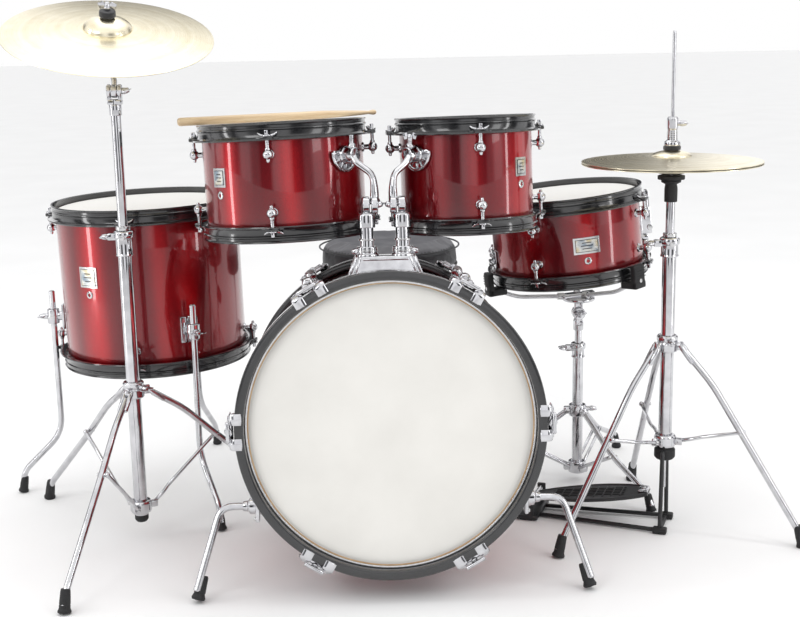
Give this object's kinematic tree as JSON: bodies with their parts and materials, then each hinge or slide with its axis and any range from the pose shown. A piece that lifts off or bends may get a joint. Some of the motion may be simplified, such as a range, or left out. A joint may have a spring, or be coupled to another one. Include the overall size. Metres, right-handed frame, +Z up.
{
  "type": "acoustic drum kit",
  "caption": "Junior acoustic drum kit with red shells, black hoops, chrome stands, hi-hat, crash cymbal, bass pedal and throne.",
  "frame": {"origin": "middle of the whole kit's footprint box, on the floor", "axes": "+Z up, -Y towards the audience that the bass drum's front head faces, +X to the audience's right, where the hi-hat stands"},
  "size_m": [1.291, 0.9888, 0.8434],
  "materials": {
    "red_wrap": "thin plywood shell under a glossy candy red wrap",
    "head_film": "smooth warm white drum head",
    "bass_hoop_black": "gloss black hoop, with chrome claws",
    "drum_hoop_black": "gloss black stamped steel hoop round a white head",
    "cymbal_brass": "lathed, pale brass",
    "seat_vinyl": "black and grey vinyl over foam",
    "stick_wood": "lacquered maple",
    "black_pedal_metal": "black powder coat with ribs",
    "chrome_hardware": "polished chrome, with black rubber feet"
  },
  "bodies": {
    "kit_frame": {"bass_shell": "red_wrap", "bass_front_head": "head_film", "bass_front_hoop": "bass_hoop_black", "bass_rear_head": "bass_hoop_black", "tom_mount": "chrome_hardware", "floor_tom_shell": "red_wrap", "floor_tom_batter_head": "drum_hoop_black", "floor_tom_resonant_head": "drum_hoop_black", "snare_stand_base": "chrome_hardware", "hihat_stand_base": "chrome_hardware", "crash_stand_base": "chrome_hardware", "throne_base": "chrome_hardware", "bass_pedal_frame": "chrome_hardware"},
    "spur_left": {"bass_spur_left": "chrome_hardware"},
    "spur_right": {"bass_spur_right": "chrome_hardware"},
    "post_left": {"tom_post_left": "chrome_hardware"},
    "post_right": {"tom_post_right": "chrome_hardware"},
    "tom_left": {"tom_arm_left": "chrome_hardware", "tom_left_shell": "red_wrap", "tom_left_batter_head": "drum_hoop_black", "tom_left_resonant_head": "drum_hoop_black", "drumstick": "stick_wood"},
    "tom_right": {"tom_arm_right": "chrome_hardware", "tom_right_shell": "red_wrap", "tom_right_batter_head": "drum_hoop_black", "tom_right_resonant_head": "drum_hoop_black"},
    "floor_leg_1": {"floor_tom_leg_1": "chrome_hardware"},
    "floor_leg_2": {"floor_tom_leg_2": "chrome_hardware"},
    "floor_leg_3": {"floor_tom_leg_3": "chrome_hardware"},
    "snare_tube": {"snare_stand_tube": "chrome_hardware"},
    "snare": {"snare_basket": "chrome_hardware", "snare_shell": "red_wrap", "snare_batter_head": "drum_hoop_black", "snare_resonant_head": "drum_hoop_black"},
    "strainer": {"snare_strainer_lever": "chrome_hardware"},
    "crash_collar": {"crash_stand_collar": "chrome_hardware"},
    "crash_tube": {"crash_stand_tube": "chrome_hardware"},
    "crash_tilter": {"crash_tilter": "chrome_hardware"},
    "crash_cymbal": {"crash_cymbal": "cymbal_brass"},
    "hihat_collar": {"hihat_stand_collar": "chrome_hardware"},
    "hihat_tube": {"hihat_stand_tube": "chrome_hardware", "hihat_bottom_cymbal": "cymbal_brass"},
    "hihat_rod": {"hihat_pull_rod": "chrome_hardware", "hihat_top_cymbal": "cymbal_brass"},
    "hihat_board": {"hihat_pedal_board": "black_pedal_metal"},
    "throne_seat": {"throne_seat": "seat_vinyl"},
    "pedal_board": {"bass_pedal_board": "black_pedal_metal"},
    "pedal_beater": {"bass_pedal_beater": "chrome_hardware"},
    "crash_leg_1": {"crash_stand_leg_1": "chrome_hardware"},
    "crash_brace_1": {"crash_stand_brace_1": "chrome_hardware"},
    "crash_leg_2": {"crash_stand_leg_2": "chrome_hardware"},
    "crash_brace_2": {"crash_stand_brace_2": "chrome_hardware"},
    "crash_leg_3": {"crash_stand_leg_3": "chrome_hardware"},
    "crash_brace_3": {"crash_stand_brace_3": "chrome_hardware"},
    "hihat_leg_1": {"hihat_stand_leg_1": "chrome_hardware"},
    "hihat_brace_1": {"hihat_stand_brace_1": "chrome_hardware"},
    "hihat_leg_2": {"hihat_stand_leg_2": "chrome_hardware"},
    "hihat_brace_2": {"hihat_stand_brace_2": "chrome_hardware"},
    "hihat_leg_3": {"hihat_stand_leg_3": "chrome_hardware"},
    "hihat_brace_3": {"hihat_stand_brace_3": "chrome_hardware"}
  },
  "joints": [
    {"name": "left_spur_fold", "type": "hinge", "parent": "kit_frame", "child": "spur_left", "pos_m": [-0.18816, -0.40714, 0.12149], "axis": [1, 0, 0], "range_deg": [-100, 12]},
    {"name": "right_spur_fold", "type": "hinge", "parent": "kit_frame", "child": "spur_right", "pos_m": [0.19884, -0.40714, 0.12149], "axis": [1, 0, 0], "range_deg": [-100, 12]},
    {"name": "left_tom_height", "type": "slide", "parent": "kit_frame", "child": "post_left", "axis": [0, 0.1028, 0.9947], "range_m": [-0.012, 0.04]},
    {"name": "left_tom_tilt", "type": "hinge", "parent": "post_left", "child": "tom_left", "pos_m": [-0.02086, -0.30161, 0.53971], "axis": [1, 0, 0], "range_deg": [-7, 20]},
    {"name": "right_tom_height", "type": "slide", "parent": "kit_frame", "child": "post_right", "axis": [0, 0.1028, 0.9947], "range_m": [-0.012, 0.04]},
    {"name": "right_tom_tilt", "type": "hinge", "parent": "post_right", "child": "tom_right", "pos_m": [0.03154, -0.30161, 0.53971], "axis": [1, 0, 0], "range_deg": [-7, 20]},
    {"name": "floor_tom_leg_1_height", "type": "slide", "parent": "kit_frame", "child": "floor_leg_1", "axis": [0, 0, 1], "range_m": [-0.025, 0.04]},
    {"name": "floor_tom_leg_2_height", "type": "slide", "parent": "kit_frame", "child": "floor_leg_2", "axis": [0, 0, 1], "range_m": [-0.025, 0.04]},
    {"name": "floor_tom_leg_3_height", "type": "slide", "parent": "kit_frame", "child": "floor_leg_3", "axis": [0, 0, 1], "range_m": [-0.025, 0.04]},
    {"name": "snare_height", "type": "slide", "parent": "kit_frame", "child": "snare_tube", "axis": [0, 0, 1], "range_m": [-0.025, 0.03]},
    {"name": "snare_basket_tilt", "type": "hinge", "parent": "snare_tube", "child": "snare", "pos_m": [0.34634, 0.00286, 0.303], "axis": [0, 1, 0], "range_deg": [-1, 14]},
    {"name": "snare_strainer_throw", "type": "hinge", "parent": "snare", "child": "strainer", "pos_m": [0.4681, 0.01787, 0.44976], "axis": [-0.0694, 0.9976, -0.0067], "range_deg": [0, 70]},
    {"name": "crash_stand_fold", "type": "slide", "parent": "kit_frame", "child": "crash_collar", "axis": [0, 0, 1], "range_m": [0, 0.032]},
    {"name": "crash_leg_1_fold", "type": "hinge", "parent": "crash_collar", "child": "crash_leg_1", "pos_m": [-0.39592, -0.23546, 0.245], "axis": [0.9703, -0.2419, 0], "range_deg": [0, 15.6]},
    {"name": "crash_brace_1_fold", "type": "hinge", "parent": "kit_frame", "child": "crash_brace_1", "pos_m": [-0.39592, -0.23546, 0.056], "axis": [0.9703, -0.2419, 0], "range_deg": [-15.2, 0]},
    {"name": "crash_leg_2_fold", "type": "hinge", "parent": "crash_collar", "child": "crash_leg_2", "pos_m": [-0.36951, -0.20342, 0.245], "axis": [-0.4226, 0.9063, 0], "range_deg": [0, 15.6]},
    {"name": "crash_brace_2_fold", "type": "hinge", "parent": "kit_frame", "child": "crash_brace_2", "pos_m": [-0.36951, -0.20342, 0.056], "axis": [-0.4226, 0.9063, 0], "range_deg": [-15.2, 0]},
    {"name": "crash_leg_3_fold", "type": "hinge", "parent": "crash_collar", "child": "crash_leg_3", "pos_m": [-0.40633, -0.1966, 0.245], "axis": [-0.7193, -0.6947, 0], "range_deg": [0, 15.6]},
    {"name": "crash_brace_3_fold", "type": "hinge", "parent": "kit_frame", "child": "crash_brace_3", "pos_m": [-0.40633, -0.1966, 0.056], "axis": [-0.7193, -0.6947, 0], "range_deg": [-15.2, 0]},
    {"name": "hihat_stand_fold", "type": "slide", "parent": "kit_frame", "child": "hihat_collar", "axis": [0, 0, 1], "range_m": [0, 0.065]},
    {"name": "hihat_leg_1_fold", "type": "hinge", "parent": "hihat_collar", "child": "hihat_leg_1", "pos_m": [0.42513, -0.24399, 0.3], "axis": [0.515, -0.8572, 0], "range_deg": [0, 21]},
    {"name": "hihat_brace_1_fold", "type": "hinge", "parent": "kit_frame", "child": "hihat_brace_1", "pos_m": [0.42513, -0.24399, 0.145], "axis": [0.515, -0.8572, 0], "range_deg": [-43.9, 0]},
    {"name": "hihat_leg_2_fold", "type": "hinge", "parent": "hihat_collar", "child": "hihat_leg_2", "pos_m": [0.46496, -0.24329, 0.3], "axis": [0.4848, 0.8746, 0], "range_deg": [0, 21]},
    {"name": "hihat_brace_2_fold", "type": "hinge", "parent": "kit_frame", "child": "hihat_brace_2", "pos_m": [0.46496, -0.24329, 0.145], "axis": [0.4848, 0.8746, 0], "range_deg": [-43.9, 0]},
    {"name": "hihat_leg_3_fold", "type": "hinge", "parent": "hihat_collar", "child": "hihat_leg_3", "pos_m": [0.44444, -0.20915, 0.3], "axis": [-0.9998, -0.0174, 0], "range_deg": [0, 21]},
    {"name": "hihat_brace_3_fold", "type": "hinge", "parent": "kit_frame", "child": "hihat_brace_3", "pos_m": [0.44444, -0.20915, 0.145], "axis": [-0.9998, -0.0174, 0], "range_deg": [-43.9, 0]},
    {"name": "crash_height", "type": "slide", "parent": "kit_frame", "child": "crash_tube", "axis": [0, 0, 1], "range_m": [-0.05, 0.12]},
    {"name": "crash_tilt", "type": "hinge", "parent": "crash_tube", "child": "crash_tilter", "pos_m": [-0.39036, -0.21314, 0.708], "axis": [1, 0, 0], "range_deg": [-20, 25]},
    {"name": "crash_cymbal_swing", "type": "hinge", "parent": "crash_tilter", "child": "crash_cymbal", "pos_m": [-0.39274, -0.2193, 0.80481], "axis": [1, 0, 0], "range_deg": [-10, 10], "stiffness_Nm_per_rad": 3},
    {"name": "hihat_height", "type": "slide", "parent": "kit_frame", "child": "hihat_tube", "axis": [0, 0, 1], "range_m": [-0.03, 0.06]},
    {"name": "hihat_rod_lift", "type": "slide", "parent": "hihat_tube", "child": "hihat_rod", "axis": [0, 0, 1], "range_m": [-0.001, 0.02]},
    {"name": "hihat_pedal", "type": "hinge", "parent": "kit_frame", "child": "hihat_board", "pos_m": [0.25014, -0.15348, 0.03], "axis": [-0.3746, -0.9272, 0], "range_deg": [-1.5, 7]},
    {"name": "throne_seat_spin", "type": "hinge", "parent": "kit_frame", "child": "throne_seat", "pos_m": [0.02734, 0.27286, 0.346], "axis": [0, 0, 1], "continuous": true},
    {"name": "bass_pedal", "type": "hinge", "parent": "kit_frame", "child": "pedal_board", "pos_m": [0.00534, 0.15042, 0.025], "axis": [1, 0, 0], "range_deg": [0, 8.6], "stiffness_Nm_per_rad": 2, "springref_deg": -14.32},
    {"name": "bass_pedal_beater", "type": "hinge", "parent": "kit_frame", "child": "pedal_beater", "pos_m": [0.00534, -0.08958, 0.205], "axis": [1, 0, 0], "range_deg": [0, 40.8]}
  ],
  "couplings": [
    {"joint": "crash_leg_1_fold", "follows": "crash_stand_fold", "rad_per_m": 8.207},
    {"joint": "crash_brace_1_fold", "follows": "crash_stand_fold", "rad_per_m": -7.961},
    {"joint": "crash_leg_2_fold", "follows": "crash_stand_fold", "rad_per_m": 8.207},
    {"joint": "crash_brace_2_fold", "follows": "crash_stand_fold", "rad_per_m": -7.961},
    {"joint": "crash_leg_3_fold", "follows": "crash_stand_fold", "rad_per_m": 8.207},
    {"joint": "crash_brace_3_fold", "follows": "crash_stand_fold", "rad_per_m": -7.961},
    {"joint": "hihat_leg_1_fold", "follows": "hihat_stand_fold", "rad_per_m": 5.476},
    {"joint": "hihat_brace_1_fold", "follows": "hihat_stand_fold", "rad_per_m": -11.62},
    {"joint": "hihat_leg_2_fold", "follows": "hihat_stand_fold", "rad_per_m": 5.476},
    {"joint": "hihat_brace_2_fold", "follows": "hihat_stand_fold", "rad_per_m": -11.62},
    {"joint": "hihat_leg_3_fold", "follows": "hihat_stand_fold", "rad_per_m": 5.476},
    {"joint": "hihat_brace_3_fold", "follows": "hihat_stand_fold", "rad_per_m": -11.62},
    {"joint": "hihat_pedal", "follows": "hihat_rod_lift", "rad_per_m": 5.26},
    {"joint": "bass_pedal_beater", "follows": "bass_pedal", "ratio": 4.7}
  ]
}
